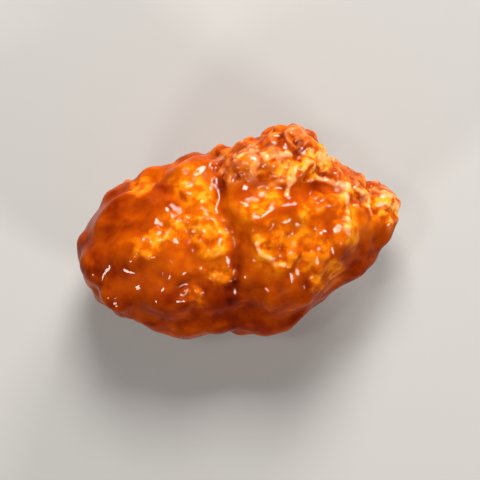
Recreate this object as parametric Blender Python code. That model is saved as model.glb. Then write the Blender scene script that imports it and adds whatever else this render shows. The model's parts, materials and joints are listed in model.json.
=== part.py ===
"""A caramel peanut: one roasted nut inside a craggy crust of cooked sugar, glazed all over.

The piece is a single solid. It is modelled in millimetres around its own middle, then cut
flat underneath, set on the ground and scaled to metres. +X runs along the nut, from its
blunt end to its narrow tip, and +Z is up. The origin is under the middle of the piece, on
the surface that it rests on.
"""

import math
import random

import bmesh
import bpy
import numpy as np
from mathutils import Matrix, Vector
from mathutils.bvhtree import BVHTree
from mathutils.geometry import intersect_point_line

NAME = "caramel_peanut"
METRES_PER_MM = 0.001

# Driving dimensions of the finished piece, in millimetres
LENGTH = 24.2
WIDTH = 15.0
HEIGHT = 13.8

# The swellings that give the piece its outline. Each has a centre and half-sizes along,
# across and up, as shares of half the length, width and height.
LOBES = {
    "blunt_half": ((-0.44, 0.00, -0.05), (0.49, 0.74, 0.85)),
    "waist": ((-0.10, 0.01, -0.10), (0.40, 0.80, 0.90)),
    "broad_half": ((0.19, 0.01, 0.00), (0.45, 0.80, 0.92)),
    "cheek": ((0.47, -0.01, 0.00), (0.36, 0.57, 0.66)),
    "tip": ((0.64, -0.03, -0.06), (0.31, 0.38, 0.36)),
    "crest": ((0.25, 0.56, 0.30), (0.30, 0.38, 0.44)),
    "belly": ((0.07, -0.54, -0.20), (0.30, 0.38, 0.54)),
    "shoulder": ((-0.18, 0.50, 0.00), (0.28, 0.32, 0.54)),
    "heel": ((-0.36, -0.47, -0.12), (0.30, 0.34, 0.54)),
}

# The piece's outline seen from above: how far it reaches to its far (+Y) and near (-Y) side
# at places along it, in millimetres.
OUTLINE = {
    -11.0: (3.3, 3.3),
    -9.0: (5.3, 4.8),
    -7.0: (5.8, 5.9),
    -5.0: (6.6, 6.7),
    -3.0: (6.9, 6.7),
    -1.0: (6.8, 7.1),
    1.0: (7.3, 7.5),
    3.0: (7.4, 7.1),
    5.0: (7.5, 5.9),
    6.3: (6.8, 5.1),
    8.0: (4.7, 4.4),
    9.5: (3.4, 3.5),
    10.7: (2.5, 2.3),
    11.7: (1.7, 1.1),
}
OUTLINE_REACH = 0.5

# Ridges of beaded crust on the upper side: where each starts and ends (along, across), how
# far it bows to its left, how many beads it has and their radius.
RIDGES = {
    "groove_edge": ((-3.6, 5.0), (-2.3, 0.6), 0.5, 5, 0.95),
    "groove_edge_low": ((-2.6, -0.6), (-2.4, -4.4), -0.4, 4, 1.10),
    "end_cap": ((-9.4, 3.0), (-9.4, -2.6), -1.0, 3, 1.90),
    "back_row": ((-7.6, 4.2), (-4.8, 3.2), 0.3, 3, 1.30),
    "cross_row": ((-8.2, 0.7), (-4.6, -1.2), 0.4, 4, 1.20),
    "crest_row": ((-0.8, 5.9), (6.8, 5.3), 1.0, 8, 0.95),
    "crest_foot": ((0.6, 3.9), (3.0, 5.2), 0.2, 3, 1.15),
    "bridge": ((1.6, 1.0), (4.9, 1.3), 0.2, 4, 1.00),
    "far_row": ((4.5, 3.5), (8.6, 2.4), 0.4, 5, 0.95),
    "far_side": ((6.6, 0.6), (6.2, -2.8), 0.5, 3, 1.45),
    "tip_row": ((8.4, 3.3), (11.1, 0.9), 0.6, 5, 1.00),
    "low_row": ((-0.6, -4.2), (3.2, -3.9), -0.4, 4, 1.15),
}

# Hollows between the ridges, where little crust has set: centre (along, across) and radius.
HOLLOWS = {
    "slanted": (-5.2, 1.5, 1.3),
    "groove": (-0.6, -1.2, 1.3),
    "groove_top": (-0.9, 3.4, 1.0),
    "under_crest": (2.2, 2.9, 1.0),
    "middle": (3.6, -1.2, 1.7),
    "beside_tip": (9.0, -1.4, 1.6),
}

# The crust is craggy along a run over the crest to the tip. Everywhere else the glaze has
# flowed thick over it. The run is given seen from above, with how far it reaches to each side
# at full strength, and how far it takes to fade.
CRAGGY_RUN = ((-0.2, 5.8), (3.5, 5.6), (6.6, 5.0), (9.2, 2.4), (11.6, 0.4))
CRAGGY_REACH = 2.2
CRAGGY_FADE = 3.4

# The rest of the crust: cooked sugar sets in beads of uneven size, more of them small. They
# are aimed evenly at the piece from all around, a little off. One is left out where a ridge
# bead is nearer than that bead's radius and a share of its own.
BEADS = 270
BEAD_RADIUS = (0.75, 1.70)
BEAD_SMALLNESS = 1.6
AIM_ERROR = 0.09
BEAD_ROOM = 0.4
CRUST_SEED = 41

# How uneven the beads are: the ridge beads' radius, and any bead's half-sizes to its radius
RIDGE_BEAD_GROWTH = (0.85, 1.15)
HALF_SIZE_SHARES = (0.82, 1.22)

# What the glaze does to a bead, first where the crust is glazed and then where it is craggy:
# its growth, and the share of its radius that is sunk in the crust
BEAD_GROWTH = (1.25, 0.85)
BEAD_SUNK = (0.62, 0.25)

# The foot, where soft caramel settled flat: its length and width at the ground, how high its
# middle lies over the ground, and how deep it would reach without the ground.
FOOT_LENGTH = 8.8
FOOT_WIDTH = 6.4
FOOT_MIDDLE = (-0.6, 0.0)
FOOT_RISE = 1.5
FOOT_DEPTH = 1.9
GROUND = -HEIGHT / 2
BEAD_CLEARANCE = 0.15

# How the beads are fused, softened by the glaze and roughened by its crumb, whose height is
# less where the crust is glazed
SKIN_VOXEL = 0.34
GLAZE_SMOOTHING = 3
CRUMB_SIZE = 1.3
CRUMB_HEIGHT = 0.80
FINE_SIZE = 0.65
FINE_HEIGHT = 0.40
GLAZED_CRUMB_SHARE = 0.35

TRIANGLES = 11000
SHARP_EDGE_DEGREES = 60
CARAMEL = (0.48, 0.11, 0.008, 1.0)
GLAZE_ROUGHNESS = 0.22


def clear_scene():
    for obj in list(bpy.data.objects):
        bpy.data.objects.remove(obj, do_unlink=True)


def half_box():
    return Vector((LENGTH / 2, WIDTH / 2, HEIGHT / 2))


def scaled(a, b):
    return Vector(x * y for x, y in zip(a, b))


def add_bead(mesh, centre, half_sizes, turn=None, subdivisions=2):
    """Adds one egg-shaped bead to a bmesh."""
    placed = Matrix.Translation(centre)
    if turn is not None:
        placed = placed @ turn.to_matrix().to_4x4()
    placed = placed @ Matrix.Diagonal((*half_sizes, 1.0))
    bmesh.ops.create_icosphere(mesh, subdivisions=subdivisions, radius=1.0, matrix=placed)


def add_lobes(mesh):
    half = half_box()
    for centre, sizes in LOBES.values():
        add_bead(mesh, scaled(centre, half), scaled(sizes, half), subdivisions=4)


def add_foot(mesh):
    """A low egg shape whose section at the ground has the foot's length and width."""
    share = math.sqrt(1.0 - (FOOT_RISE / FOOT_DEPTH) ** 2)
    centre = Vector((*FOOT_MIDDLE, GROUND + FOOT_RISE))
    half_sizes = Vector((FOOT_LENGTH / 2 / share, FOOT_WIDTH / 2 / share, FOOT_DEPTH))
    add_bead(mesh, centre, half_sizes, subdivisions=4)


def cragginess(spot):
    """1 where the crust is craggy, falling to 0 where it is glazed over."""
    here = Vector(spot).xy
    gaps = []
    for start, end in zip(CRAGGY_RUN, CRAGGY_RUN[1:]):
        nearest, share = intersect_point_line(here, Vector(start), Vector(end))
        nearest = Vector(start).lerp(Vector(end), min(max(share, 0.0), 1.0))
        gaps.append((here - nearest).length)
    return 1.0 - min(max((min(gaps) - CRAGGY_REACH) / CRAGGY_FADE, 0.0), 1.0)


def by_cragginess(pair, spot):
    """A value between that of glazed and that of craggy crust."""
    glazed, craggy = pair
    return glazed + (craggy - glazed) * cragginess(spot)


def ridge_spots(start, end, bow, count):
    """Points (along, across) spaced along a shallow arc."""
    start, end = Vector(start), Vector(end)
    left = Vector((start.y - end.y, end.x - start.x)).normalized()
    for i in range(count):
        share = i / (count - 1)
        yield start.lerp(end, share) + left * bow * 4.0 * share * (1.0 - share)


def uneven_sizes(draw, radius):
    return Vector(radius * draw.uniform(*HALF_SIZE_SHARES) for _ in range(3))


def random_turn(draw):
    return Vector(draw.uniform(-1.0, 1.0) for _ in range(3)).to_track_quat("Z", "Y")


def add_ridges(mesh, lobes, draw):
    """The rows of beads on the upper side. Returns their centres and radii."""
    beads = []
    for start, end, bow, count, radius in RIDGES.values():
        for spot in ridge_spots(start, end, bow, count):
            size = radius * draw.uniform(*RIDGE_BEAD_GROWTH)
            sizes = uneven_sizes(draw, size)
            turn = random_turn(draw)
            hit, normal, _, _ = lobes.ray_cast(Vector((*spot, HEIGHT)), Vector((0, 0, -1)))
            if hit is None:
                continue
            centre = hit - normal * size * by_cragginess(BEAD_SUNK, hit)
            add_bead(mesh, centre, sizes, turn)
            beads.append((centre, size))
    return beads


def even_directions(count):
    """Unit vectors spread evenly over a sphere, by the golden angle."""
    golden = math.pi * (3.0 - math.sqrt(5.0))
    for i in range(count):
        along = 1.0 - 2.0 * (i + 0.5) / count
        ring = math.sqrt(1.0 - along * along)
        yield Vector((along, ring * math.cos(golden * i), ring * math.sin(golden * i)))


def in_hollow(spot):
    return spot.z > 0.0 and any(
        (spot.xy - Vector((along, across))).length < radius
        for along, across, radius in HOLLOWS.values()
    )


def add_scattered_beads(mesh, lobes, draw, taken):
    """Beads over all the rest, part sunk, clear of the hollows, the ridges and the ground."""
    half = half_box()
    low, high = BEAD_RADIUS
    for direction in even_directions(BEADS):
        error = Vector(draw.uniform(-AIM_ERROR, AIM_ERROR) for _ in range(3))
        aim = (direction + error).normalized()
        radius = low + (high - low) * draw.random() ** BEAD_SMALLNESS
        sizes = uneven_sizes(draw, radius)
        turn = random_turn(draw)
        start = scaled(aim, half) * 2.0
        hit, normal, _, _ = lobes.ray_cast(start, -start)
        if hit is None or in_hollow(hit):
            continue
        growth = by_cragginess(BEAD_GROWTH, hit)
        radius *= growth
        sizes *= growth
        centre = hit - normal * radius * by_cragginess(BEAD_SUNK, hit)
        centre.z = max(centre.z, GROUND + BEAD_CLEARANCE + max(sizes))
        if any((hit - bead).length < size + BEAD_ROOM * radius for bead, size in taken):
            continue
        add_bead(mesh, centre, sizes, turn)


def add_crumb(piece, name, size, height, weights):
    grain = bpy.data.textures.new(name, "CLOUDS")
    grain.noise_scale = size
    grain.noise_depth = 2
    crumb = piece.modifiers.new(name, "DISPLACE")
    crumb.texture = grain
    crumb.texture_coords = "LOCAL"
    crumb.mid_level = 0.5
    crumb.strength = height
    crumb.vertex_group = weights


def add_skin(piece, name):
    skin = piece.modifiers.new(name, "REMESH")
    skin.mode = "VOXEL"
    skin.voxel_size = SKIN_VOXEL


def apply_modifiers(piece):
    for modifier in list(piece.modifiers):
        bpy.ops.object.modifier_apply(modifier=modifier.name)


def fuse(mesh):
    """The beads as one object, softened by the glaze and roughened by its crumb."""
    data = bpy.data.meshes.new(NAME)
    mesh.to_mesh(data)
    mesh.free()
    piece = bpy.data.objects.new(NAME, data)
    bpy.context.scene.collection.objects.link(piece)
    bpy.context.view_layer.objects.active = piece

    add_skin(piece, "fused beads")
    glaze = piece.modifiers.new("glaze", "SMOOTH")
    glaze.factor = 0.5
    glaze.iterations = GLAZE_SMOOTHING
    apply_modifiers(piece)

    weights = piece.vertex_groups.new(name="crumb height")
    for vert in piece.data.vertices:
        share = by_cragginess((GLAZED_CRUMB_SHARE, 1.0), vert.co)
        weights.add([vert.index], share, "REPLACE")
    add_crumb(piece, "crumb", CRUMB_SIZE, CRUMB_HEIGHT, weights.name)
    add_crumb(piece, "fine crumb", FINE_SIZE, FINE_HEIGHT, weights.name)
    add_skin(piece, "even skin")
    apply_modifiers(piece)

    triangles = sum(len(face.vertices) - 2 for face in piece.data.polygons)
    fewer = piece.modifiers.new("fewer faces", "DECIMATE")
    fewer.ratio = TRIANGLES / triangles
    fewer.use_collapse_triangulate = True
    apply_modifiers(piece)
    return piece


def fit_to_box(mesh):
    """Gives a bmesh its length, width and height, and stands it over the origin."""
    places = [vert.co for vert in mesh.verts]
    low = Vector(min(place[axis] for place in places) for axis in range(3))
    high = Vector(max(place[axis] for place in places) for axis in range(3))
    middle = Vector(((low.x + high.x) / 2, (low.y + high.y) / 2, low.z))
    fit = scaled((LENGTH, WIDTH, HEIGHT), (1 / size for size in high - low))
    mesh.transform(Matrix.Diagonal((*fit, 1.0)) @ Matrix.Translation(-middle))


def fit_to_outline(mesh):
    """Widens or narrows each side of a bmesh, so that its outline from above is OUTLINE."""
    places = [vert.co.copy() for vert in mesh.verts]
    for column, side in enumerate((1.0, -1.0)):
        stretches = []
        for station, reaches in OUTLINE.items():
            near = [side * p.y for p in places if abs(p.x - station) < OUTLINE_REACH]
            stretches.append(reaches[column] / max(near))
        for vert, place in zip(mesh.verts, places):
            if side * place.y > 0.0:
                vert.co.y = place.y * np.interp(place.x, list(OUTLINE), stretches)


def stand_on_ground(piece):
    """Cuts the foot flat, fits the piece to its sizes and outline, and stands it up."""
    mesh = bmesh.new()
    mesh.from_mesh(piece.data)
    everything = mesh.verts[:] + mesh.edges[:] + mesh.faces[:]
    bmesh.ops.bisect_plane(
        mesh, geom=everything, plane_co=(0, 0, GROUND), plane_no=(0, 0, -1), clear_outer=True
    )
    rim = [edge for edge in mesh.edges if edge.is_boundary]
    foot = bmesh.ops.contextual_create(mesh, geom=rim)["faces"]
    bmesh.ops.triangulate(mesh, faces=foot)

    fit_to_box(mesh)
    fit_to_outline(mesh)
    fit_to_box(mesh)
    mesh.transform(Matrix.Scale(METRES_PER_MM, 4))
    mesh.to_mesh(piece.data)
    mesh.free()


def glaze_in_caramel(piece):
    caramel = bpy.data.materials.new("caramel")
    caramel.use_nodes = True
    surface = caramel.node_tree.nodes["Principled BSDF"]
    surface.inputs["Base Color"].default_value = CARAMEL
    surface.inputs["Roughness"].default_value = GLAZE_ROUGHNESS
    surface.inputs["Metallic"].default_value = 0.0
    caramel.diffuse_color = CARAMEL
    piece.data.materials.append(caramel)
    piece.data.shade_smooth()
    piece.data.set_sharp_from_angle(angle=math.radians(SHARP_EDGE_DEGREES))


def main():
    clear_scene()
    draw = random.Random(CRUST_SEED)
    mesh = bmesh.new()
    add_lobes(mesh)
    lobes = BVHTree.FromBMesh(mesh)
    taken = add_ridges(mesh, lobes, draw)
    add_scattered_beads(mesh, lobes, draw, taken)
    add_foot(mesh)
    piece = fuse(mesh)
    stand_on_ground(piece)
    glaze_in_caramel(piece)


main()
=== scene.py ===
# %% [markdown]
# # A caramel peanut
#
# This is one roasted peanut that was stirred in boiling sugar. The sugar set around it as a
# craggy crust, and a glaze of clear caramel then ran over the crust. The glaze is thick and
# dark red in the hollows, and thin and golden where the crust sticks out.
#
# The solid model already has the right size and the big lumps. It is loaded first, and it
# stays as it is. The skin that we look at is made from a copy of it.

import json
import math
import random

import bpy
import numpy as np
from mathutils import Matrix, Vector, noise

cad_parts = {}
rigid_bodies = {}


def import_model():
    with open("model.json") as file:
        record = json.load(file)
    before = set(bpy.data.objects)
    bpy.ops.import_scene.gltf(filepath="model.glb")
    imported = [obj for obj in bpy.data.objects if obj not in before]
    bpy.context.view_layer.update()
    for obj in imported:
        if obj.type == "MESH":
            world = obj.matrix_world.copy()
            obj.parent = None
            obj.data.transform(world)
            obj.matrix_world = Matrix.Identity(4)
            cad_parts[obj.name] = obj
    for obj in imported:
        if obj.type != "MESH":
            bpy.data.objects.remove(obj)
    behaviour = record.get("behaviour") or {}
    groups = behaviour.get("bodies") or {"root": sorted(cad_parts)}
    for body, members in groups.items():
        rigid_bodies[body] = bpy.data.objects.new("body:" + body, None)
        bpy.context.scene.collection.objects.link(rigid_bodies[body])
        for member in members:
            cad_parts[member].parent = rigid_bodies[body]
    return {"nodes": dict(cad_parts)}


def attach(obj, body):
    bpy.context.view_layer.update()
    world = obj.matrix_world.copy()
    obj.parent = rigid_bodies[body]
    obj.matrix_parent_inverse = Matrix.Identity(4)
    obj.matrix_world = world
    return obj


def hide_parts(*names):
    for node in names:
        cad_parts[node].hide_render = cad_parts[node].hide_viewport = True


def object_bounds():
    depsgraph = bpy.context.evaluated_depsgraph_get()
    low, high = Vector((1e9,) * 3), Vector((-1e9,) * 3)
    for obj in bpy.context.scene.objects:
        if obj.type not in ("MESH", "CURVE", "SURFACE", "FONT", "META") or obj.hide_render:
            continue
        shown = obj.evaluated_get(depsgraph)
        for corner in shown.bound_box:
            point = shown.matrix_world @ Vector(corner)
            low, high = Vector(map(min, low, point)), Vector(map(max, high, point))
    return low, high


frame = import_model()
solid_low, solid_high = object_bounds()
solid = frame["nodes"]["caramel_peanut"]
print("solid:", [round(1000 * size, 2) for size in solid_high - solid_low], "mm")

# %% [markdown]
# ## A fine skin over the solid
#
# The solid has about eleven thousand triangles, so its faces are as long as a grain of sugar.
# Two steps make a finer skin. Subdividing rounds the facets off. A voxel remesh then lays an
# even grid over everything, whose cells are all the same size, so that the grain that is
# pressed in afterwards comes out equally sharp everywhere. Subdividing alone could do it too,
# but it makes the small faces smaller still, and it can't fuse the crumbs that follow.
#
# The nut is tiny for a program that thinks in metres. The skin is therefore worked on in
# millimetres, and made small again at the end.

# %% Helpers for selecting and for modifiers
MM = 0.001


def pick(piece):
    """Selects one object and nothing else, and makes it the active one."""
    bpy.ops.object.select_all(action="DESELECT")
    piece.select_set(True)
    bpy.context.view_layer.objects.active = piece


def apply(piece, modifier):
    pick(piece)
    bpy.ops.object.modifier_apply(modifier=modifier.name)


def triangles(piece):
    return sum(len(face.vertices) - 2 for face in piece.data.polygons)


def coordinates(piece):
    """The places of a mesh's vertices, one row each."""
    rows = np.empty(len(piece.data.vertices) * 3, np.float32)
    piece.data.vertices.foreach_get("co", rows)
    return rows.reshape(-1, 3)


def directions(piece):
    """The way that a mesh faces at each vertex."""
    rows = np.empty(len(piece.data.vertices) * 3, np.float32)
    piece.data.vertex_normals.foreach_get("vector", rows)
    return rows.reshape(-1, 3)


# %% Lay a skin
def drop_bubbles(piece):
    """Deletes the small shells that a remesh can leave inside a piece."""
    pick(piece)
    bpy.ops.object.mode_set(mode="EDIT")
    bpy.ops.mesh.select_all(action="DESELECT")
    bpy.ops.object.mode_set(mode="OBJECT")
    top = int(coordinates(piece)[:, 2].argmax())
    piece.data.vertices[top].select = True
    bpy.ops.object.mode_set(mode="EDIT")
    bpy.ops.mesh.select_linked()
    bpy.ops.mesh.select_all(action="INVERT")
    bpy.ops.mesh.delete(type="VERT")
    bpy.ops.object.mode_set(mode="OBJECT")


def lay_skin(piece, cell):
    skin = piece.modifiers.new("skin", "REMESH")
    skin.mode = "VOXEL"
    skin.voxel_size = cell
    apply(piece, skin)
    before = len(piece.data.vertices)
    drop_bubbles(piece)
    print("skin:", triangles(piece), "triangles;", before - len(piece.data.vertices), "inside")


# %% Copy the solid and lay the first skin on it
# Sizes of the skin's cells, in millimetres
FIRST_CELL = 0.20
SKIN_CELL = 0.126
SAME_PLACE = 0.001

crust = bpy.data.objects.new("glazed_crust", solid.data.copy())
bpy.context.scene.collection.objects.link(crust)
crust.data.materials.clear()
crust.data.transform(Matrix.Scale(1 / MM, 4))

pick(crust)
bpy.ops.object.mode_set(mode="EDIT")
bpy.ops.mesh.select_all(action="SELECT")
bpy.ops.mesh.remove_doubles(threshold=SAME_PLACE)
bpy.ops.object.mode_set(mode="OBJECT")

rounding = crust.modifiers.new("rounding", "SUBSURF")
rounding.levels = 1
rounding.render_levels = 1
apply(crust, rounding)
lay_skin(crust, FIRST_CELL)

# %% [markdown]
# ## Where the crust is craggy, sandy or smooth
#
# The sugar didn't set evenly. Over the crest and down to the tip it broke into crags. In a few
# streaks it turned back to golden, sandy sugar. Everywhere else the glaze ran together and is
# as smooth as glass. Each kind is a number from 0 to 1 for every vertex. These numbers could be
# painted on by hand, as a vertex group. Here they are worked out, so that they fit whatever
# skin there is. What shows from above is a few lines with a width, and noise tears their edges.
# On the other sides a slow noise decides alone, as nobody can see a plan in it.

# %% Noise
# Each kind of noise is read in a place of its own, so that no two are alike
SEEDS = {
    "crag edges": 1,
    "sand edges": 3,
    "other sides": 4,
    "crags": 5,
    "grains": 7,
    "long waves": 9,
    "short waves": 10,
    "wrinkles": 11,
    "drops": 12,
    "fine threads": 13,
    "threads along": 14,
    "threads across": 15,
    "thread breaks": 16,
}
# This far apart
SHIFT = Vector((17.3, 5.1, 9.7))
# Blender starts its vector noise by the clock, so it would differ each time without a seed
VECTOR_NOISE_SEED = 1
noise.seed_set(VECTOR_NOISE_SEED)


def sampled(places, size, kind, sample):
    """What sample gives at each place, for a noise whose waves have the given size."""
    shift = SHIFT * SEEDS[kind]
    return np.array([sample(Vector(p) / size + shift) for p in places.tolist()], np.float32)


def smooth_step(low, high, values):
    """Runs softly from 0 at low to 1 at high."""
    share = np.clip((values - low) / (high - low), 0.0, 1.0)
    return share * share * (3.0 - 2.0 * share)


# %% Lines with a width, as seen from above
# In millimetres
TEAR_SIZE = 1.1
UPPER_SIDE = 4.0
SIDE_BLEND = 3.0
# A line is full up to the first share of its half-width, and has faded out at the second
LINE_FADE = (0.3, 2.0)
# Once noise is added to a line, its edge is where the sum crosses this value
EDGE_LEVEL = 0.5


def line_field(places, start, end, half_width):
    """1 on the line, falling to 0 at twice its half-width."""
    start, end = np.array(start), np.array(end)
    run = end - start
    share = np.clip(((places[:, :2] - start) @ run) / (run @ run), 0.0, 1.0)
    distance = np.linalg.norm(places[:, :2] - (start + share[:, None] * run), axis=1)
    full, gone = LINE_FADE
    return 1.0 - smooth_step(full * half_width, gone * half_width, distance)


def torn_lines(places, lines, kind, tearing, softness):
    """The lines with torn edges. Tearing says how far, and softness how blurred."""
    field = np.max([line_field(places, *line) for line in lines.values()], axis=0)
    torn = field + tearing * sampled(places, TEAR_SIZE, kind, noise.noise)
    return smooth_step(EDGE_LEVEL - softness, EDGE_LEVEL + softness, torn)


def upper_share(places, height):
    """1 on the upper side, falling to 0 at the given height."""
    return smooth_step(height, height + SIDE_BLEND, places[:, 2])


# %% Lines of craggy and of sandy crust
# Each line: (start along, start across), (end along, end across), half-width, in millimetres
CRAGGY_LINES = {
    "crest": ((0.4, 5.7), (6.2, 5.8), 1.5),
    "crest end": ((6.2, 5.6), (9.4, 2.8), 1.3),
    "tip": ((9.4, 2.6), (11.8, 0.4), 1.4),
}
SANDY_LINES = {
    "slanted": ((-7.0, 0.6), (-3.8, 2.1), 0.8),
    "cheek": ((-3.1, 4.7), (-1.9, 0.6), 1.2),
    "low cheek": ((-2.3, -0.8), (-2.0, -2.0), 0.9),
    "crest": ((4.6, 4.2), (6.8, 4.9), 0.9),
    "under the crest": ((1.4, 2.0), (2.6, 2.6), 0.8),
    "middle": ((2.6, -0.9), (4.4, -1.7), 1.6),
    "spot": ((5.0, 1.2), (5.9, 1.7), 0.6),
    "streak": ((8.1, 1.5), (7.8, -0.9), 0.8),
    "near the blunt end": ((-4.4, -3.3), (-3.9, -3.5), 0.5),
    "far off the blunt end": ((-6.8, 5.0), (-6.2, 5.2), 0.5),
    "near the tip": ((5.2, -3.8), (6.4, -3.4), 0.8),
    "tip": ((9.8, 1.5), (11.2, 0.6), 0.9),
}
CRAG_TEARING = 0.35
SAND_TEARING = 0.60
# The relief has sharp edges, and the colours have blurred ones
SHARP_EDGE = 0.20
BLURRED_EDGE = 0.45
# The crags set in at this height
CRAG_FOOT = 2.0
# On the other sides there is sand where the slow noise rises from the first value to the second
OTHER_SIDES = (0.05, 0.50)
OTHER_SIDES_SIZE = 4.5


def craggy_and_sandy(places, softness):
    """Both kinds for each place. The crags reach down the far side, and sand is anywhere."""
    craggy = torn_lines(places, CRAGGY_LINES, "crag edges", CRAG_TEARING, softness)
    craggy *= upper_share(places, CRAG_FOOT)
    sandy = torn_lines(places, SANDY_LINES, "sand edges", SAND_TEARING, softness)
    clouds = sampled(places, OTHER_SIDES_SIZE, "other sides", noise.noise)
    upper = upper_share(places, UPPER_SIDE)
    return craggy, upper * sandy + (1.0 - upper) * smooth_step(*OTHER_SIDES, clouds)


craggy, sandy = craggy_and_sandy(coordinates(crust), SHARP_EDGE)
print("craggy share:", craggy.mean().round(2), "sandy share:", sandy.mean().round(2))

# %% [markdown]
# ## Crumbs of sugar, sunk in the crust
#
# The crags are lumps of sugar that stuck together, and the sandy streaks are smaller ones. One
# angular crumb is modelled, copied to random places on the skin and sunk in it, turned and
# stretched differently each time. A particle system could scatter them too. Doing it in code
# lets more of them go where the crust is craggy or sandy, and makes them smaller at the narrow
# tip. Three larger lumps are put in listed places where the crest runs down to the tip.

# %% One crumb
# Its corners lie between these distances from its middle
CRUMB_CORNERS = (0.80, 1.15)


def new_crumb(draw):
    """A ball of radius 1 with its corners pushed in and out."""
    bpy.ops.object.select_all(action="DESELECT")
    bpy.ops.mesh.primitive_ico_sphere_add(subdivisions=2, radius=1.0, location=(0, 0, 0))
    crumb = bpy.context.active_object
    for vert in crumb.data.vertices:
        vert.co *= draw.uniform(*CRUMB_CORNERS)
    return crumb


# %% Sink copies of it in the skin
# Each kind: how many, smallest and largest radius in millimetres, and how deep under the skin
# their middles lie, as a share of the radius
CRAG_CRUMBS = (220, 0.40, 0.90, 0.22)
SAND_CRUMBS = (320, 0.20, 0.45, 0.12)
# Between these two places along the nut, the crumbs shrink to this share
NARROWING = (8.5, 11.0)
TIP_SHARE = 0.35
# Along each of its axes a crumb is stretched by a share between these
STRETCH = (0.75, 1.30)
# A high number makes most crumbs small
SMALL_ONES = 1.5
# A high number keeps them away from the edges of the streaks
GATHERED = 2


def sink_copy(crumb, place, way, radius, depth, draw):
    """A copy of the crumb at a place on the skin, turned and stretched by chance."""
    size = Vector(radius * draw.uniform(*STRETCH) for _ in range(3))
    turn = Vector(draw.uniform(-1, 1) for _ in range(3)).to_track_quat("Z", "Y")
    centre = Vector(place.tolist()) - Vector(way.tolist()) * radius * depth
    copy = bpy.data.objects.new("crumb", crumb.data.copy())
    copy.data.transform(Matrix.LocRotScale(centre, turn, size))
    bpy.context.scene.collection.objects.link(copy)
    return copy


def scatter(piece, crumb, weights, kind, draw):
    """Copies of the crumb on random vertices, most where the weights are high."""
    count, smallest, largest, depth = kind
    places, ways = coordinates(piece), directions(piece)
    chances = (weights ** GATHERED).tolist()
    copies = []
    for index in draw.choices(range(len(places)), weights=chances, k=count):
        radius = smallest + (largest - smallest) * draw.random() ** SMALL_ONES
        radius *= 1.0 - (1.0 - TIP_SHARE) * float(smooth_step(*NARROWING, places[index, 0]))
        copies.append(sink_copy(crumb, places[index], ways[index], radius, depth, draw))
    return copies


# %% Lumps in listed places
# Each: along, across, up and radius, in millimetres. It sits on the skin nearest to there
SHOULDER_LUMPS = ((9.3, 2.9, 7.4, 0.60), (10.0, 2.4, 6.8, 0.65), (10.5, 1.9, 6.4, 0.60))
# Below 0, so their middles lie a little above the skin
LUMPS_DEPTH = -0.05


def place_lumps(piece, crumb, lumps, depth, draw):
    places, ways = coordinates(piece), directions(piece)
    copies = []
    for *spot, radius in lumps:
        index = int(np.linalg.norm(places - np.array(spot), axis=1).argmin())
        copies.append(sink_copy(crumb, places[index], ways[index], radius, depth, draw))
    return copies


CRUMB_SEED = 7
draw = random.Random(CRUMB_SEED)
crumb = new_crumb(draw)
crumbs = scatter(crust, crumb, craggy, CRAG_CRUMBS, draw)
crumbs += scatter(crust, crumb, sandy, SAND_CRUMBS, draw)
crumbs += place_lumps(crust, crumb, SHOULDER_LUMPS, LUMPS_DEPTH, draw)
bpy.data.objects.remove(crumb, do_unlink=True)
print(len(crumbs), "crumbs")

# %% [markdown]
# ## Fuse the crumbs
#
# A Boolean could join hundreds of crumbs, slowly. A new voxel remesh fuses all of them with the
# skin at once. Then everything swells a little, is fused again, and shrinks by as much: this
# closes the narrow gaps between crumbs, as syrup would. A last remesh makes the cells even.

# %% Join, swell and shrink
# In millimetres
CLOSING = 0.13


def swell(piece, distance):
    press = piece.modifiers.new("swell", "DISPLACE")
    press.mid_level = 0.0
    press.strength = distance
    apply(piece, press)


pick(crust)
for copy in crumbs:
    copy.select_set(True)
bpy.ops.object.join()
lay_skin(crust, SKIN_CELL)
swell(crust, CLOSING)
lay_skin(crust, SKIN_CELL)
swell(crust, -CLOSING)
lay_skin(crust, SKIN_CELL)

# %% [markdown]
# ## Press the relief into the skin
#
# Crags are cells with an own height and an own slope each, like a broken plate. Sandy sugar is
# a bed of round grains of uneven height, with crumpled ridges. The smooth parts have only
# shallow waves. A texture could drive a Displace modifier for each of them. Here all are worked
# out as one height in millimetres for every vertex, because the kinds have to give way to each
# other. Two Displace modifiers then move the skin by it: one lifts it and one presses it in,
# because the weights of a vertex group can't be less than 0.

# %% Crags and grains, cell by cell
# A cell's middle is multiplied by one of these, and noise is read there for the whole cell
FOR_LEVEL, FOR_SLOPE, FOR_GRAIN = 7.7, 5.3, 31.7
# How much of a crag is its level, and how much its slope
CRAG_LEVEL, CRAG_SLOPE = 0.6, 1.2
# The size of a cell is 1. The cut is taken off every grain, and those below it are missing
GRAIN_RADIUS = 0.55
GRAIN_TALLNESS, GRAIN_CUT = 1.4, 0.2


def crag(point):
    """A cell's own height plus its own slope, from about -1 to 1."""
    centre = noise.voronoi(point)[1][0]
    level = noise.noise(centre * FOR_LEVEL)
    slope = noise.noise_vector(centre * FOR_SLOPE)
    return CRAG_LEVEL * level + CRAG_SLOPE * slope.dot(point - centre)


def grain(point):
    """A round grain in each cell, some of them tall and some missing, from 0 to about 1."""
    distances, centres = noise.voronoi(point)
    tall = GRAIN_TALLNESS * noise.cell(centres[0] * FOR_GRAIN) - GRAIN_CUT
    return max(0.0, 1.0 - (distances[0] / GRAIN_RADIUS) ** 2) * max(0.0, tall)


# %% Wrinkles and waves
# Noise bends the ridges: how far, and how many of its waves there are to one of theirs
RIDGE_BEND, RIDGE_BEND_SCALE = 0.5, 0.8
RIDGE_HEIGHT = 0.5
# How fast finer waves fade, how much finer each is than the last, and how many there are.
# For ridges, two more numbers say how sharp they are
RIDGES = (1.0, 2.2, 3, 0.9, 1.6)
WAVES = (0.9, 2.0, 2)


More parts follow.
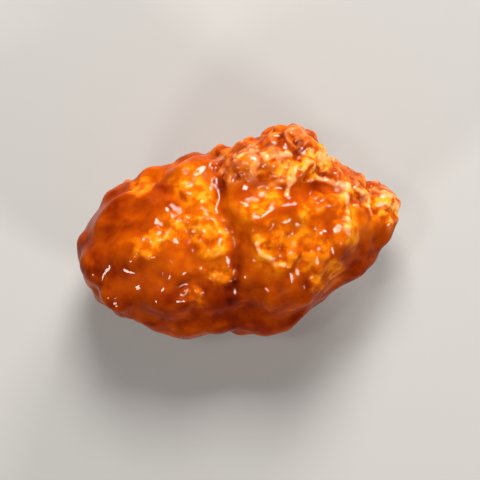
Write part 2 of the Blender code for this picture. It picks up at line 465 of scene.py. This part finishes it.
def wrinkle(point):
    """Crumpled ridges of several sizes, from about 0 to 1."""
    bent = point + RIDGE_BEND * noise.noise_vector(point * RIDGE_BEND_SCALE)
    return RIDGE_HEIGHT * noise.ridged_multi_fractal(bent, *RIDGES)


def wave(point):
    return noise.fractal(point, *WAVES)


# %% Work out the crags, the sand and the waves
# Heights and the sizes of cells or waves, in millimetres
CRAG_HEIGHT, CRAG_SIZE = 0.16, 1.9
GRAIN_HEIGHT, GRAIN_SIZE = 0.10, 0.45
SAND_WRINKLES, CRAG_WRINKLES, WRINKLE_SIZE = 0.22, 0.10, 1.3
LONG_WAVE_HEIGHT, LONG_WAVE_SIZE = 0.20, 2.6
SHORT_WAVE_HEIGHT, SHORT_WAVE_SIZE = 0.02, 0.8
MEAN_WRINKLE = 0.4

places = coordinates(crust)
craggy, sandy = craggy_and_sandy(places, SHARP_EDGE)
wrinkles = sampled(places, WRINKLE_SIZE, "wrinkles", wrinkle) - MEAN_WRINKLE

relief = craggy * CRAG_HEIGHT * sampled(places, CRAG_SIZE, "crags", crag)
relief += (SAND_WRINKLES * sandy + CRAG_WRINKLES * craggy) * wrinkles
relief += sandy * (1.0 - craggy) * GRAIN_HEIGHT * sampled(places, GRAIN_SIZE, "grains", grain)
relief += LONG_WAVE_HEIGHT * sampled(places, LONG_WAVE_SIZE, "long waves", wave)
relief += SHORT_WAVE_HEIGHT * sampled(places, SHORT_WAVE_SIZE, "short waves", wave)
print("relief from", relief.min().round(2), "to", relief.max().round(2), "mm")

# %% [markdown]
# ## A crease, and threads of sugar
#
# A crease runs across the middle, between the two lumps of the nut. On the crest and the tip
# the sugar was drawn out in threads while it set, and one thread curls on the side. Curves with
# a bevel would make threads too, but they would lie on the crust like string. As relief they
# grow out of it. The ones that are seen best are lines from point to point, which noise then
# bends and breaks. Finer ones come from noise alone: a thread lies where its value crosses 0.

# %% The crease
# Its points: along, across, in millimetres
CREASE = ((-0.6, 6.2), (-0.7, 4.0), (-1.2, 2.6), (-0.3, 0.7), (-0.6, -1.8), (-1.3, -4.2))
CREASE_HALF_WIDTH = 0.40
CREASE_DEPTH = 0.25


def crease_field(places):
    """1 along the crease and 0 beside it."""
    runs = zip(CREASE, CREASE[1:])
    field = np.max([line_field(places, *run, CREASE_HALF_WIDTH) for run in runs], axis=0)
    return field * upper_share(places, UPPER_SIDE)


# %% Threads that are drawn from point to point
# Each thread: half-width, and its points along and across, in millimetres
THREADS = {
    "crest": (0.14, ((0.6, 5.9), (1.9, 6.3), (3.0, 5.5), (4.6, 5.6))),
    "fork": (0.14, ((3.9, 2.7), (4.3, 3.5), (4.8, 4.3))),
    "shoulder": (0.16, ((5.2, 3.6), (6.4, 3.4), (7.5, 3.0), (8.3, 2.2))),
    "shoulder edge": (0.16, ((6.5, 5.5), (7.3, 4.9), (8.2, 4.4))),
    "streak": (0.18, ((8.4, 2.6), (8.2, 1.2), (7.9, 0.2), (7.8, -0.8))),
    "neck": (0.14, ((9.2, 2.2), (9.8, 1.3), (9.9, 0.3))),
    "rim": (0.14, ((10.4, 2.1), (11.5, 1.4), (12.0, 0.6), (12.1, -0.3))),
    "curl": (0.17, ((1.3, -0.5), (1.5, -1.4), (2.2, -2.1), (3.2, -2.5))),
}
# How far they waver and how long the wavers are, in millimetres
WAVER, WAVER_SIZE = 0.30, 0.9
# How whole they are, how much that varies, and over what length
WHOLE, BREAKS, BREAK_SIZE = 0.90, 1.10, 0.55


def drawn_threads(places):
    """1 along the threads and 0 beside them."""
    kinds = ("threads along", "threads across")
    waver = [WAVER * sampled(places, WAVER_SIZE, kind, noise.noise) for kind in kinds]
    moved = places[:, :2] + np.transpose(waver)
    body = WHOLE + BREAKS * sampled(places, BREAK_SIZE, "thread breaks", noise.noise)
    runs = [(*run, wide) for wide, points in THREADS.values() for run in zip(points, points[1:])]
    field = np.max([line_field(moved, *run) for run in runs], axis=0)
    return field * np.clip(body, 0.0, 1.0) * upper_share(places, UPPER_SIDE)


# %% Fine threads, and all of them together
# How long their bends are, in millimetres, and the value of noise at which a thread ends
FINE_THREAD_SIZE = 1.6
FINE_THREAD_WIDTH = 0.13
# How high they are beside the drawn ones, on crags and less so on sand
FINE_SHARE = 0.65
ON_SAND_SHARE = 0.60
# They are bent as the ridges are
THREAD_BEND, THREAD_BEND_SCALE = 0.6, 1.3
# The noise that makes gaps: its place and scale, how steep it is, and how much thread it leaves
GAP_PLACE, GAP_SCALE = Vector((4, 7, 1)), 0.6
GAP_STEEPNESS, GAP_LEVEL = 3.0, 0.5


def fine_thread(point):
    """Thin crooked lines: 1 on the line and 0 beside it, with gaps in them."""
    bent = point + THREAD_BEND * noise.noise_vector(point * THREAD_BEND_SCALE)
    line = max(0.0, 1.0 - abs(noise.noise(bent)) / FINE_THREAD_WIDTH)
    whole = GAP_STEEPNESS * noise.noise(point * GAP_SCALE + GAP_PLACE) + GAP_LEVEL
    return line * min(1.0, max(0.0, whole))


def thread_field(places, craggy, sandy):
    fine = sampled(places, FINE_THREAD_SIZE, "fine threads", fine_thread)
    fine *= FINE_SHARE * np.maximum(craggy, ON_SAND_SHARE * sandy)
    return np.maximum(fine, drawn_threads(places))


# %% Lift the skin by all of it
THREAD_HEIGHT = 0.22
# The foot is pressed out by this much up to the first height, and not at all from the second
FOOT_SPARE = 0.15
FOOT_HEIGHTS = (0.2, 1.2)
LEAST_LIFT = 0.001


def weigh(piece, name, weights):
    """A vertex group with the given weights."""
    group = piece.vertex_groups.new(name=name)
    for index, weight in enumerate(weights.tolist()):
        group.add([index], weight, "REPLACE")


def lift(piece, heights):
    """Moves a mesh along its normals by a height for each vertex, in millimetres."""
    for way in (1.0, -1.0):
        part = np.maximum(0.0, way * heights)
        most = float(part.max())
        if most > LEAST_LIFT:
            weigh(piece, "height", part / most)
            press = piece.modifiers.new("press", "DISPLACE")
            press.mid_level = 0.0
            press.strength = way * most
            press.vertex_group = "height"
            apply(piece, press)
            piece.vertex_groups.clear()


relief += THREAD_HEIGHT * thread_field(places, craggy, sandy)
relief -= CREASE_DEPTH * crease_field(places)
foot = 1.0 - smooth_step(*FOOT_HEIGHTS, places[:, 2])
lift(crust, relief * (1.0 - foot) + FOOT_SPARE * foot)
print("size with relief:", np.round(np.ptp(coordinates(crust), axis=0), 2), "mm")

# %% [markdown]
# ## Let the glaze run
#
# Liquid caramel evens out what it covers. The Smooth brush of Sculpt Mode would do that by
# hand. A Smooth modifier does the same evenly, and a vertex group makes it work hardest where
# the crust is neither craggy nor sandy. A second, short round goes over everything, as even
# the crags carry a film of glaze.

# %% Melt the smooth parts
# In each round a vertex moves by this share towards the middles of its edges
SMOOTH_FACTOR = 0.5
MELT_ROUNDS = 6
FILM_ROUNDS = 2
# How much of the melting the crags and the sand hold out against
CRAG_HOLD = 0.6
SAND_HOLD = 0.9


def melt(piece, weights, rounds):
    """Smooths a mesh where the weights are near 1."""
    weigh(piece, "melt", weights)
    soften = piece.modifiers.new("soften", "SMOOTH")
    soften.factor = SMOOTH_FACTOR
    soften.iterations = rounds
    soften.vertex_group = "melt"
    apply(piece, soften)
    piece.vertex_groups.clear()


everywhere = np.ones(len(places))
melt(crust, everywhere - np.maximum(CRAG_HOLD * craggy, SAND_HOLD * sandy), MELT_ROUNDS)
melt(crust, everywhere, FILM_ROUNDS)
print("size with glaze:", np.round(np.ptp(coordinates(crust), axis=0), 2), "mm")

# %% [markdown]
# ## Drops and a burst bubble in the glaze
#
# A few round drops set on the near side, the blunt end and the crest, where a bubble also burst
# and left a ring. Small balls could be fused on as the crumbs were, but a drop of glaze has no
# edge. Each one is raised as a low dome instead, from a list of places, and noise makes its
# outline uneven. The crust under a drop is smoothed first, because a drop is clean and round,
# and mirrors a lamp as one bright dot.

# %% Places of the drops and the bubble
# Each drop: along, across, radius, height, in millimetres
DROPS = (
    (1.5, -4.7, 0.85, 0.38),
    (-0.9, -4.0, 0.95, 0.15),
    (-1.4, -2.8, 0.50, 0.18),
    (-3.7, -1.5, 0.50, 0.12),
    (-4.5, 0.4, 0.45, 0.12),
    (-8.0, -0.3, 0.60, 0.14),
    (-8.0, 2.7, 0.55, 0.14),
    (-9.4, -3.7, 0.80, 0.20),
    (-10.3, -2.4, 0.60, 0.16),
    (-11.2, -0.9, 0.80, 0.20),
    (1.5, 5.5, 1.00, 0.22),
)
# The ring: along, across, radius, wall, height
BUBBLE = (5.25, 6.65, 0.60, 0.24, 0.24)
FAR_AWAY = 99.0


def plan_distance(places, along, across):
    """How far each place is from a spot, seen from above; far away on the underside."""
    gap = np.hypot(places[:, 0] - along, places[:, 1] - across)
    return np.where(places[:, 2] > UPPER_SIDE, gap, FAR_AWAY)


# %% Raise them
# How far their outlines waver and how long the wavers are, in millimetres
UNEVEN, UNEVEN_SIZE = 0.30, 0.9
# Under a drop of at least this height the crust is smoothed fully
DROP_COVERS = 0.08
DROP_ROUNDS = 10
# Afterwards this softens their rims
RIM_ROUNDS = 1


def raised_drops(places, uneven):
    """The height of the drops at each place, in millimetres."""
    heights = np.zeros(len(places), np.float32)
    for along, across, radius, height in DROPS:
        off_centre = (plan_distance(places, along, across) + uneven) / radius
        heights = np.maximum(heights, height * np.clip(1.0 - off_centre ** 2, 0.0, 1.0))
    return heights


def raised_ring(places, uneven):
    """The height of the burst bubble's ring at each place, in millimetres."""
    along, across, radius, wall, height = BUBBLE
    off_ring = (plan_distance(places, along, across) + uneven - radius) / wall
    return height * np.clip(1.0 - off_ring ** 2, 0.0, 1.0)


places = coordinates(crust)
uneven = UNEVEN * sampled(places, UNEVEN_SIZE, "drops", noise.noise)
drops = raised_drops(places, uneven)
melt(crust, np.minimum(drops / DROP_COVERS, 1.0), DROP_ROUNDS)
lift(crust, drops + raised_ring(places, uneven))
melt(crust, everywhere, RIM_ROUNDS)
lay_skin(crust, SKIN_CELL)

# %% [markdown]
# ## A flat foot
#
# The glaze was still soft when the nut was put down, so it rests on a flat spot. Moving the low
# vertices up would crowd them. One cut at the height of the floor takes off what the steps
# above pressed through it, and closes the hole with a flat face.

# %% Cut the foot flat
pick(crust)
bpy.ops.object.mode_set(mode="EDIT")
bpy.ops.mesh.select_all(action="SELECT")
bpy.ops.mesh.bisect(plane_co=(0, 0, 0), plane_no=(0, 0, 1), clear_inner=True, use_fill=True)
bpy.ops.object.mode_set(mode="OBJECT")
print("lowest point:", coordinates(crust)[:, 2].min().round(4), "mm;", triangles(crust), "triangles")

# %% [markdown]
# ## Keep what the material needs
#
# The colour of caramel depends on how thick it lies. Smoothing a copy of the skin shows this:
# where the skin lies below its smoothed copy there is a pit, which caramel has filled, and
# where it lies above there is a peak with little caramel on it. A few rounds of smoothing find
# the grain, many rounds find the lumps. Both are stored on the mesh as attributes, next to
# where the crust is craggy, sandy, threaded or creased, and to where painted shade darkens the
# caramel: low down, on the near side, at the blunt end, and in a few listed spots, some of which
# are painted lighter instead. A material could guess pits with its Pointiness value, but an
# exported model loses that.

# %% Peaks and pits
def smoothed(piece, rounds):
    """The places of a smoothed copy's vertices."""
    copy = piece.copy()
    copy.data = piece.data.copy()
    bpy.context.scene.collection.objects.link(copy)
    soften = copy.modifiers.new("soften", "SMOOTH")
    soften.factor = SMOOTH_FACTOR
    soften.iterations = rounds
    apply(copy, soften)
    result = coordinates(copy)
    bpy.data.meshes.remove(copy.data)
    return result


def height_over(piece, rounds):
    """How far each vertex stands out of the smoothed skin: above 0 on peaks, below in pits."""
    return np.einsum("ij,ij->i", coordinates(piece) - smoothed(piece, rounds), directions(piece))


# %% Where shade is painted: low down, on the near side and at the blunt end
# In millimetres. Upwards it fades between these heights. Towards the near side and the blunt
# end it sets in between these distances from the middle
LOW_HEIGHTS = (2.0, 8.0)
NEAR_SIDE = (0.0, 5.0)
BLUNT_END = (4.0, 11.5)
BLUNT_SHARE = 0.65
# Spots of painted shade, or of painted light where below 0: along, across and radius in millimetres,
# and how much more
PAINTED_SHADE_AND_LIGHT_SPOTS = (
    (-5.0, 4.0, 2.4, 1.0),
    (-5.0, -3.0, 2.2, 0.6),
    (-9.0, 1.5, 2.2, -0.7),
    (-0.5, 2.0, 1.6, -0.6),
    (1.0, -5.5, 2.0, -0.5),
    (-7.8, 4.2, 1.8, 0.6),
    (-11.0, 0.0, 1.8, 0.6),
    (3.4, -5.4, 1.8, -0.6),
    (6.0, -4.0, 1.8, -0.5),
    (10.5, 1.0, 1.8, 0.4),
)


def painted_shade(places):
    """Painted shade, most low down, on the near side, at the blunt end and in spots; spots below 0
    paint light.
    """
    low = 1.0 - smooth_step(*LOW_HEIGHTS, places[:, 2])
    near = smooth_step(*NEAR_SIDE, -places[:, 1])
    blunt = smooth_step(*BLUNT_END, -places[:, 0])
    # depth here is painted shade: darker low down, on the near side and at the blunt end
    depth = np.maximum(low, np.maximum(near, BLUNT_SHARE * blunt))
    # Each spot paints shade, or paints light where its amount is below 0
    for along, across, radius, more in PAINTED_SHADE_AND_LIGHT_SPOTS:
        depth += more * (1.0 - smooth_step(0.0, radius, plan_distance(places, along, across)))
    return depth


# %% Store them all
# Rounds of smoothing, and the height in millimetres that runs from all pit to all peak
PEAKS = (8, 0.2)
LUMPS = (60, 0.8)
# Pits between crags hold less caramel than others
CRAG_PITS = 0.25


def keep(piece, name, values):
    store = piece.data.attributes.new(name, "FLOAT", "POINT")
    store.data.foreach_set("value", values.astype(np.float32))
    print(name, "from", values.min().round(2), "to", values.max().round(2))


def stands_out(piece, rounds, full_height):
    """0.5 level with the smoothed skin, 1 on a peak and 0 in a pit."""
    return 0.5 + height_over(piece, rounds) / full_height


places = coordinates(crust)
craggy, sandy = craggy_and_sandy(places, BLURRED_EDGE)
keep(crust, "sandy", sandy)
keep(crust, "craggy", craggy)
keep(crust, "threads", thread_field(places, craggy, sandy))
keep(crust, "crease", crease_field(places))
# This attribute is painted shade, not a thickness of glaze
keep(crust, "painted_shade", painted_shade(places))
keep(crust, "peaks", np.clip(stands_out(crust, *PEAKS), CRAG_PITS * craggy, 1.0))
keep(crust, "lumps", np.clip(stands_out(crust, *LUMPS), 0.0, 1.0))

# %% Back to metres
crust.data.transform(Matrix.Scale(MM, 4))
pick(crust)
bpy.ops.object.shade_smooth()

# %% [markdown]
# ## The colour of caramel
#
# Caramel has no colour of its own as paint has. It lets light through and takes the blue and
# green out of it, so it is golden where it is thin and red-brown where it is thick. Real glass
# in layers would show this by itself, but slowly, and an exported model can't hold it. The
# material follows the rule instead: its colour runs over a ramp from deep red to gold, and the
# place on the ramp comes from the attributes that were kept.

# %% Small helpers for materials
GRID_COLUMNS = 8
GRID_STEP = (240, -320)


def new_material(name):
    material = bpy.data.materials.new(name)
    material.use_nodes = True
    tree = material.node_tree
    return material, tree, tree.nodes["Principled BSDF"]


def add_node(tree, kind, **settings):
    """A new node, in the next free place of a grid to the left of the shader."""
    row, column = divmod(len(tree.nodes), GRID_COLUMNS)
    node = tree.nodes.new(kind)
    node.location = ((column - GRID_COLUMNS) * GRID_STEP[0], row * GRID_STEP[1])
    for name, value in settings.items():
        setattr(node, name, value)
    return node


def connect(tree, value, socket):
    """Feeds a socket from another one, or sets it to a number."""
    if isinstance(value, (int, float)):
        socket.default_value = value
    else:
        tree.links.new(value, socket)


def arithmetic(tree, operation, *values):
    """A Math node of numbers or sockets."""
    node = add_node(tree, "ShaderNodeMath", operation=operation)
    for socket, value in zip(node.inputs, values):
        connect(tree, value, socket)
    return node.outputs[0]


def added(tree, value, share, rest):
    """value times share plus rest."""
    return arithmetic(tree, "MULTIPLY_ADD", value, share, rest)


# %% Helpers for masks
def attribute(tree, name):
    return add_node(tree, "ShaderNodeAttribute", attribute_name=name).outputs["Fac"]


def cloudiness(tree, per_millimetre, detail):
    """Noise of a given number of waves per millimetre, on the piece's own coordinates."""
    where = add_node(tree, "ShaderNodeTexCoord")
    cloud = add_node(tree, "ShaderNodeTexNoise")
    cloud.inputs["Scale"].default_value = per_millimetre / MM
    cloud.inputs["Detail"].default_value = detail
    tree.links.new(where.outputs["Object"], cloud.inputs["Vector"])
    return cloud.outputs["Fac"]


def contrast(tree, value, low, high):
    """Runs softly from 0 at low to 1 at high."""
    node = add_node(tree, "ShaderNodeMapRange", interpolation_type="SMOOTHSTEP")
    tree.links.new(value, node.inputs["Value"])
    connect(tree, low, node.inputs["From Min"])
    connect(tree, high, node.inputs["From Max"])
    return node.outputs["Result"]


# %% How thin the glaze lies, and where shade is painted
# The sum starts here, and these shares of the attributes are added
THICKEST = -0.47
# The last share darkens the caramel as painted shade, low down, on the near side and in spots
SHARES = {"peaks": 0.46, "lumps": 0.32, "threads": 0.24, "crease": -0.16, "painted_shade": -0.18}
# Sand and crags add a share of the specks, and the same everywhere
ON_SAND = (0.35, 0.13)
ON_CRAGS = (0.30, -0.10)
# Clouds: waves per millimetre and detail. Mottle and patches have the same share
MOTTLE = (0.9, 5.0)
PATCHES = (0.28, 2.0)
CLOUD_SHARE = 0.50
SPECKS = (1.2, 4.0)
SPECK_EDGE = (0.42, 0.60)


def new_masks(tree):
    """The attributes and the specks, by name."""
    masks = {name: attribute(tree, name) for name in ("sandy", "craggy", *SHARES)}
    masks["specks"] = contrast(tree, cloudiness(tree, *SPECKS), *SPECK_EDGE)
    return masks


def glaze_thinness_and_painted_shade(tree, masks):
    """From 0 where the glaze lies thickest or shade is painted, to 1 where it lies thinnest."""
    on_sand = arithmetic(tree, "MULTIPLY", masks["sandy"], added(tree, masks["specks"], *ON_SAND))
    on_crags = arithmetic(tree, "MULTIPLY", masks["craggy"], added(tree, masks["specks"], *ON_CRAGS))
    thin = arithmetic(tree, "ADD", on_sand, THICKEST)
    thin = arithmetic(tree, "ADD", on_crags, thin)
    for name, share in SHARES.items():
        thin = added(tree, masks[name], share, thin)
    for cloud in (MOTTLE, PATCHES):
        thin = added(tree, cloudiness(tree, *cloud), CLOUD_SHARE, thin)
    return thin


# %% The ramp from thick to thin glaze
CARAMEL_RAMP = (
    (0.00, (0.075, 0.004, 0.0004)),
    (0.20, (0.215, 0.017, 0.0004)),
    (0.42, (0.430, 0.060, 0.0006)),
    (0.60, (0.590, 0.115, 0.0010)),
    (0.78, (0.690, 0.180, 0.0025)),
    (0.92, (0.800, 0.262, 0.0070)),
    (1.00, (0.880, 0.355, 0.0250)),
)


def caramel_colour(tree, thin):
    ramp = add_node(tree, "ShaderNodeValToRGB")
    elements = ramp.color_ramp.elements
    while len(elements) < len(CARAMEL_RAMP):
        elements.new(1.0)
    for element, (position, colour) in zip(elements, CARAMEL_RAMP):
        element.position = position
        element.color = (*colour, 1.0)
    tree.links.new(thin, ramp.inputs["Fac"])
    return ramp.outputs["Color"]


# %% [markdown]
# ## Frost, painted glints and wet shine
#
# Where the sugar dried in air it has a pale, pinkish frost, and the same pale colour is also a
# painted highlight that stands in for glints and sheen: on the peaks of the crags, in blots
# between them, and along the threads. It is one more colour, mixed over the caramel by a mask.
#
# The wet shine is a clear coat. Seen at a slant, a coat mirrors the pale floor, and the caramel
# under it would turn milky. So the coat fades where the surface turns away from the eye, later
# on the crags than on the smooth flanks, and sandy sugar has half as much of it.

# %% Frost and painted glints
# Pale pinkish: partly frost on the sugar, partly a painted highlight for glints and sheen
FROST_AND_PAINTED_GLINT = (0.93, 0.46, 0.23, 1.0)
FROST_AND_GLINT_PEAKS = (0.52, 0.82)
# Blots of frost and painted sheen: waves per millimetre and detail, where their edges start and end,
# and how pale they are
FROST_AND_SHEEN_BLOTS = (0.8, 5.0)
FROST_AND_SHEEN_BLOT_EDGE = (0.52, 0.66)
FROST_AND_SHEEN_BLOT_SHARE = 0.40
FROST_AND_GLINT_THREADS = (0.25, 0.90)
# On threads it is torn: a share of the specks, and the same everywhere
FROST_AND_GLINT_TORN = (0.50, 0.38)


# Frost and painted highlight on crag peaks, in blots and along the threads
def frost_and_painted_glint_mask(tree, masks):
    peaks = contrast(tree, masks["peaks"], *FROST_AND_GLINT_PEAKS)
    frost_and_sheen_blots = contrast(tree, cloudiness(tree, *FROST_AND_SHEEN_BLOTS), *FROST_AND_SHEEN_BLOT_EDGE)
    frost_and_sheen_blots = arithmetic(tree, "MULTIPLY", frost_and_sheen_blots, FROST_AND_SHEEN_BLOT_SHARE)
    on_crags = arithmetic(tree, "MULTIPLY", arithmetic(tree, "MAXIMUM", peaks, frost_and_sheen_blots), masks["craggy"])
    torn = added(tree, masks["specks"], *FROST_AND_GLINT_TORN)
    threads = arithmetic(tree, "MULTIPLY", contrast(tree, masks["threads"], *FROST_AND_GLINT_THREADS), torn)
    return arithmetic(tree, "MAXIMUM", on_crags, threads)


def with_frost_and_painted_glint(tree, colour, mask):
    """The colour with frost and painted glints over it."""
    mix = add_node(tree, "ShaderNodeMix", data_type="RGBA")
    mix.inputs["B"].default_value = FROST_AND_PAINTED_GLINT
    tree.links.new(mask, mix.inputs["Factor"])
    tree.links.new(colour, mix.inputs["A"])
    return mix.outputs["Result"]


# %% Wet shine
# Facing runs from 0, straight at the eye, to 1, along the line of sight. The coat ends here
SHINE_END = 0.34
MORE_ON_CRAGS = 0.38
DULLED_BY_SAND = -0.50
# With this blend, facing is 1 less the cosine of the angle to the eye
PLAIN_FACING = 0.5


def wet_shine(tree, masks):
    """How much of the clear coat there is."""
    facing = add_node(tree, "ShaderNodeLayerWeight")
    facing.inputs["Blend"].default_value = PLAIN_FACING
    end = added(tree, masks["craggy"], MORE_ON_CRAGS, SHINE_END)
    shine = contrast(tree, facing.outputs["Facing"], end, 0.0)
    return arithmetic(tree, "MULTIPLY", shine, added(tree, masks["sandy"], DULLED_BY_SAND, 1.0))


# %% [markdown]
# ## The crust's material
#
# Everything comes together in one Principled shader. Part of the light goes in and comes out
# again nearby, redder: that is subsurface scattering, and it makes sugar look like sugar and
# not like painted clay. A fine bump adds the grain that is too small for the skin's cells.

# %% Caramel crust
ROUGHNESS, MORE_ON_SAND = 0.20, 0.20
# Waves per millimetre and detail; then the strength, and the height in millimetres
GRAIN_BUMP = (4.0, 6.0)
BUMP_STRENGTH, BUMP_HEIGHT = 0.4, 0.04
# The same all over the crust
FIXED = {
    "Subsurface Weight": 0.35,
    "Subsurface Radius": (1.0, 0.30, 0.06),
    "Subsurface Scale": 1.0 * MM,
    "IOR": 1.5,
    "Specular IOR Level": 0.02,
    "Specular Tint": (1.0, 0.55, 0.25, 1.0),
    "Coat Roughness": 0.06,
    "Coat IOR": 1.45,
}


def fine_bump(tree):
    bump = add_node(tree, "ShaderNodeBump")
    bump.inputs["Strength"].default_value = BUMP_STRENGTH
    bump.inputs["Distance"].default_value = BUMP_HEIGHT * MM
    tree.links.new(cloudiness(tree, *GRAIN_BUMP), bump.inputs["Height"])
    return bump.outputs["Normal"]


def caramel_crust():
    material, tree, shader = new_material("caramel_crust")
    masks = new_masks(tree)
    colour = caramel_colour(tree, glaze_thinness_and_painted_shade(tree, masks))
    colour = with_frost_and_painted_glint(tree, colour, frost_and_painted_glint_mask(tree, masks))
    rough = added(tree, masks["sandy"], MORE_ON_SAND, ROUGHNESS)
    tree.links.new(colour, shader.inputs["Base Color"])
    tree.links.new(rough, shader.inputs["Roughness"])
    tree.links.new(wet_shine(tree, masks), shader.inputs["Coat Weight"])
    tree.links.new(fine_bump(tree), shader.inputs["Normal"])
    for name, value in FIXED.items():
        shader.inputs[name].default_value = value
    print("caramel crust:", len(tree.nodes), "nodes")
    return material


crust.data.materials.append(caramel_crust())

# %% [markdown]
# ## Put the crust in the solid's place
#
# The crust is one closed piece that holds everything, so it takes the place of the whole
# solid. It rides the only body there is.

# %% Place it
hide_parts("caramel_peanut")
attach(crust, "root")

# %% [markdown]
# ## Floor, light and camera
#
# A plain pale floor shows the nut as it is. Glossy caramel is mostly what it mirrors, so where
# the lights stand matters most: a soft window and a lower one beyond the crest, two weak
# ones on the near side, and a small one from the left for the last sparks. All are a little
# warm, and the floor is a little cool to make up for it. The camera looks straight down, with
# the nut tilted in the picture as it lay. The Standard view shows caramel's strong orange as it
# is, where Blender's usual view would dull it.

# %% Floor
FLOOR_SIZE = 1.2
FLOOR_COLOUR = (0.45, 0.46, 0.47, 1.0)
FLOOR_ROUGHNESS = 0.7
FLOOR_GAP = 0.02 * MM

bpy.ops.object.select_all(action="DESELECT")
bpy.ops.mesh.primitive_plane_add(size=FLOOR_SIZE, location=(0, 0, -FLOOR_GAP))
floor = bpy.context.active_object
floor.name = "floor"
pale, _, pale_shader = new_material("pale_floor")
pale_shader.inputs["Base Color"].default_value = FLOOR_COLOUR
pale_shader.inputs["Roughness"].default_value = FLOOR_ROUGHNESS
floor.data.materials.append(pale)

# %% Light
# Each light: place and size of its square in metres, and power in watts
LIGHTS = {
    "window": ((0.03, 0.15, 0.20), 0.085, 0.60),
    "low_window": ((0.11, 0.20, 0.10), 0.075, 0.45),
    "near_fill": ((-0.18, -0.16, 0.14), 0.05, 0.23),
    "right_fill": ((0.15, -0.19, 0.15), 0.06, 0.32),
    "spark": ((-0.08, 0.02, 0.26), 0.03, 0.08),
}
WARM = (1.0, 0.94, 0.86)
ROOM_COLOUR = (1.0, 0.98, 0.95, 1.0)
ROOM_STRENGTH = 0.06
middle = (solid_low + solid_high) / 2

for name, (place, size, power) in LIGHTS.items():
    data = bpy.data.lights.new(name, "AREA")
    data.shape = "SQUARE"
    data.size = size
    data.energy = power
    data.color = WARM
    lamp = bpy.data.objects.new(name, data)
    bpy.context.scene.collection.objects.link(lamp)
    lamp.location = place
    lamp.rotation_euler = (middle - Vector(place)).to_track_quat("-Z", "Y").to_euler()

room = bpy.data.worlds.new("room")
bpy.context.scene.world = room
room.use_nodes = True
room.node_tree.nodes["Background"].inputs["Color"].default_value = ROOM_COLOUR
room.node_tree.nodes["Background"].inputs["Strength"].default_value = ROOM_STRENGTH
print(len(LIGHTS), "lights and a dim room")

# %% Camera
CAMERA_HEIGHT = 0.26
SHARE_OF_PICTURE = 0.68
PIECE_TILT_DEGREES = 9.7
SENSOR = 36.0
# How near and how far the camera sees, in metres
SEEN_FROM, SEEN_TO = 0.001, 10.0

seen_width = (solid_high.x - solid_low.x) / SHARE_OF_PICTURE
camera_data = bpy.data.cameras.new("camera")
camera_data.sensor_width = SENSOR
camera_data.lens = SENSOR * (CAMERA_HEIGHT - middle.z) / seen_width
camera_data.clip_start = SEEN_FROM
camera_data.clip_end = SEEN_TO
camera = bpy.data.objects.new("camera", camera_data)
bpy.context.scene.collection.objects.link(camera)
camera.location = (middle.x, middle.y, CAMERA_HEIGHT)
camera.rotation_euler = (0.0, 0.0, -math.radians(PIECE_TILT_DEGREES))
bpy.context.scene.camera = camera
bpy.context.scene.view_settings.view_transform = "Standard"
print("lens:", round(camera_data.lens), "mm")
